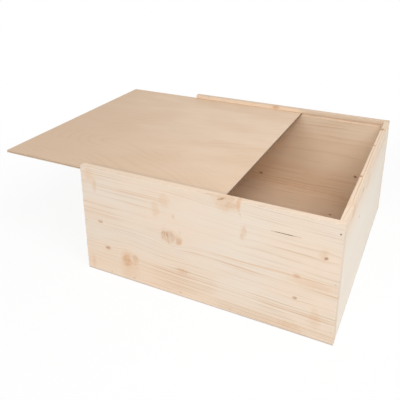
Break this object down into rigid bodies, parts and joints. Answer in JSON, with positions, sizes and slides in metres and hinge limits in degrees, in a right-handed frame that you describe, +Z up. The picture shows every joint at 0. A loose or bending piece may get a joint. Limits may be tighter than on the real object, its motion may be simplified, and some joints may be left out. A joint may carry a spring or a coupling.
{
  "type": "wooden wine box",
  "caption": "Low square-plan crate of pale spruce boards, nailed at the corners, with a thin plywood lid sliding in grooves, shown drawn part way out.",
  "frame": {"origin": "centre of the box's underside, on the bottom board's lower face", "axes": "+X along the front board towards the closed end, the lid draws out towards -X; +Y from the front face to the back; +Z up"},
  "size_m": [0.544, 0.4, 0.18],
  "materials": {
    "spruce": "raw planed spruce, matt, with fine grain lines and small knots",
    "plywood": "raw sanded plywood, matt, with a faint wavy grain",
    "nail_steel": "bright steel wire, dull at the set heads"
  },
  "bodies": {
    "box": {"front_board": "spruce", "back_board": "spruce", "closed_end_board": "spruce", "entry_end_board": "spruce", "bottom_board": "spruce", "front_corner_nails": "nail_steel", "back_corner_nails": "nail_steel", "front_bottom_nails": "nail_steel", "back_bottom_nails": "nail_steel", "closed_end_bottom_nails": "nail_steel", "entry_end_bottom_nails": "nail_steel"},
    "lid": {"sliding_lid": "plywood"}
  },
  "joints": [
    {"name": "lid_slide", "type": "slide", "parent": "box", "child": "lid", "axis": [-1, 0, 0], "range_m": [-0.156, 0.24]}
  ]
}
